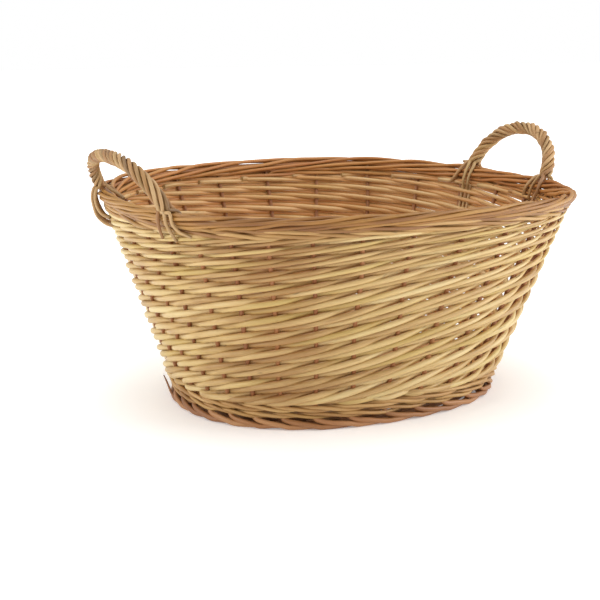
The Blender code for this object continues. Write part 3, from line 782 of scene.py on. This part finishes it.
def rope_strands(side, arch, across):
    """Centre lines of the thin rods that are twisted round the arch."""
    handle = HANDLES[side]
    lengths = np.concatenate([[0.0], np.cumsum(np.linalg.norm(np.diff(arch, axis=0), axis=1))])
    distance = np.linspace(handle["leaves"][0], lengths[-1] - handle["leaves"][1], 150)
    place = np.stack([np.interp(distance, lengths, arch[:, axis]) for axis in range(3)], axis=-1)
    along = np.gradient(place, axis=0)
    along /= np.linalg.norm(along, axis=1, keepdims=True)
    normal = np.cross(across, along)
    lay = np.interp(distance, [0.0, lengths[-1] * 0.55], handle["lays"])
    wound = np.concatenate([[0.0], np.cumsum(np.diff(distance) / lay[1:])])
    slim = np.linspace(1.0, handle["slims_to"], len(distance))
    strands = []
    for strand in range(ROPE_STRANDS):
        angle = 2 * math.pi * (strand / ROPE_STRANDS + wound) + rng.normal(0, 0.06)
        waver = 1.0 + WAVER_SHARE * np.sin(distance / WAVER_LENGTH + rng.uniform(0, 6.28))
        radius = (BOW_RADIUS + ROPE_ROD_RADIUS * rng.uniform(0.9, 1.1)) * waver * slim
        sideways = normal * np.cos(angle)[:, None] + across * np.sin(angle)[:, None]
        strands.append(place + radius[:, None] * sideways)
    return strands


def make_rope(side, arch, across):
    """The rope, whose ends wrap the border and tuck into the wall."""
    handle = HANDLES[side]
    strands = rope_strands(side, arch, across)
    heads = leg_ends(side, 0, [points[0] for points in strands])
    tails = leg_ends(side, 1, [points[-1] for points in strands])
    rods = Rods(8)
    for strand, points in enumerate(strands):
        head = smooth(np.vstack([points[4:5], points[0:1], heads[strand]]), 5)[6:]
        tail = smooth(np.vstack([points[-5:-4], points[-1:], tails[strand]]), 5)[6:]
        path = np.vstack([head[::-1], points, tail])
        reference = np.cross(np.gradient(path, axis=0), np.array([0.31, 0.52, 0.79]))
        size = ROPE_ROD_RADIUS * rng.uniform(0.80, 1.04)
        stations = [0, len(head), len(head) + len(points), len(path) - 1]
        shares = [HEAD_THICKNESS, 1.0, handle["slims_to"], handle["tail"]]
        thickness = np.interp(np.arange(len(path)), stations, shares)
        rods.add(path, size * thickness, up=reference, redness=rng.uniform(0.0, 0.3))
    nodes = [f"{side}_handle_strand_{i + 1}" for i in range(5)]
    rods.build(f"{side}_handle_rope", HANDLE_WILLOW, nodes)


def make_handle(side):
    arch, across = handle_arch(side)
    make_bow(side, arch, across)
    make_rope(side, arch, across)


# ---- studio ----
CAMERA_AZIMUTH, CAMERA_ELEVATION, CAMERA_DISTANCE = math.radians(-32.0), math.radians(12.55), 1.603
CAMERA_ROLL = math.radians(1.24)
CAMERA_LENS, SENSOR_WIDTH = 79.512, 36.0                 # millimetres
CAMERA_SHIFT = (-0.0640, -0.02217)
CAMERA_TARGET = Vector((0.0, 0.0, 0.125))
LIGHT_TARGET = Vector((0.0, 0.0, 0.12))
WARM, WHITE = (1.0, 0.99, 0.97), (1.0, 1.0, 1.0)
LIGHTS = [                                               # name, place, side length, watts, colour
    ("left_softbox", (-2.2, 0.2, 1.0), 1.7, 22.0, WARM),
    ("right_softbox", (1.9, -1.3, 0.9), 1.7, 35.0, WARM),
    ("top_softbox", (0.0, 0.2, 2.2), 1.6, 16.0, WHITE),
]
AMBIENT, BACKDROP = 0.70, 1.0            # world's strength on the basket, and as the camera sees it
FLOOR_HALF = 6.0
FLOOR_GREY = 0.93
GLOW_FROM, GLOW_TO = (0.25, 0.2), (1.6, 0.75)            # distance from the middle, and glow there


def make_camera():
    data = bpy.data.cameras.new("camera")
    camera = bpy.data.objects.new("camera", data)
    bpy.context.scene.collection.objects.link(camera)
    flat, rise = math.cos(CAMERA_ELEVATION), math.sin(CAMERA_ELEVATION)
    back = Vector((math.sin(CAMERA_AZIMUTH) * flat, -math.cos(CAMERA_AZIMUTH) * flat, rise))
    place = CAMERA_TARGET + back * CAMERA_DISTANCE
    camera.matrix_world = (Matrix.Translation(place) @ back.to_track_quat("Z", "Y").to_matrix().to_4x4()
                           @ Matrix.Rotation(CAMERA_ROLL, 4, "Z"))
    data.sensor_width = SENSOR_WIDTH
    data.lens = CAMERA_LENS
    data.shift_x, data.shift_y = CAMERA_SHIFT
    data.clip_start = 0.05
    data.dof.use_dof = False
    bpy.context.scene.camera = camera


def make_light(name, place, size, power, color):
    data = bpy.data.lights.new(name, "AREA")
    data.shape = "SQUARE"
    data.size = size
    data.energy = power
    data.color = color
    light = bpy.data.objects.new(name, data)
    bpy.context.scene.collection.objects.link(light)
    light.location = place
    light.rotation_euler = (LIGHT_TARGET - Vector(place)).to_track_quat("-Z", "Y").to_euler()


def make_floor():
    """Plain pale floor that brightens away from the basket."""
    half = FLOOR_HALF
    mesh = bpy.data.meshes.new("floor")
    corners = [(-half, -half, 0), (half, -half, 0), (half, half, 0), (-half, half, 0)]
    mesh.from_pydata(corners, [], [(0, 1, 2, 3)])
    floor = bpy.data.objects.new("floor", mesh)
    bpy.context.scene.collection.objects.link(floor)
    paint = bpy.data.materials.new("floor_paint")
    paint.use_nodes = True
    nodes, links = paint.node_tree.nodes, paint.node_tree.links
    shader = nodes["Principled BSDF"]
    shader.inputs["Base Color"].default_value = (FLOOR_GREY, FLOOR_GREY, FLOOR_GREY, 1.0)
    shader.inputs["Roughness"].default_value = 0.9
    shader.inputs["Emission Color"].default_value = (1.0, 1.0, 1.0, 1.0)
    coordinates = nodes.new("ShaderNodeTexCoord")
    radius = nodes.new("ShaderNodeVectorMath")
    radius.operation = "LENGTH"
    links.new(coordinates.outputs["Object"], radius.inputs[0])
    glow = nodes.new("ShaderNodeMapRange")
    glow.inputs["From Min"].default_value, glow.inputs["To Min"].default_value = GLOW_FROM
    glow.inputs["From Max"].default_value, glow.inputs["To Max"].default_value = GLOW_TO
    links.new(radius.outputs["Value"], glow.inputs["Value"])
    links.new(glow.outputs["Result"], shader.inputs["Emission Strength"])
    mesh.materials.append(paint)


def make_world():
    """White surroundings that light the basket less than they light the picture's background."""
    world = bpy.data.worlds.new("studio")
    world.use_nodes = True
    nodes, links = world.node_tree.nodes, world.node_tree.links
    background = nodes["Background"]
    background.inputs["Color"].default_value = (1.0, 1.0, 1.0, 1.0)
    paths = nodes.new("ShaderNodeLightPath")
    seen = nodes.new("ShaderNodeMapRange")
    seen.inputs["To Min"].default_value = AMBIENT
    seen.inputs["To Max"].default_value = BACKDROP
    links.new(paths.outputs["Is Camera Ray"], seen.inputs["Value"])
    links.new(seen.outputs["Result"], background.inputs["Strength"])
    bpy.context.scene.world = world
    bpy.context.scene.view_settings.view_transform = "Standard"


# ---- build ----
make_stakes()
make_base_sticks()
make_base_weave()
make_foot()
make_wale("upsett_rods", FOOT_HIGH.z - 0.0005, UPSETT_ROUNDS, UPSETT_ROUND, "upsett_wale")
make_siding()
make_wale("top_wale_rods", SIDING_HIGH - 0.0010, TOP_WALE_ROUNDS, TOP_WALE_ROUND, "top_wale")
make_border()
make_handle("left")
make_handle("right")
make_camera()
make_floor()
make_world()
for light in LIGHTS:
    make_light(*light)
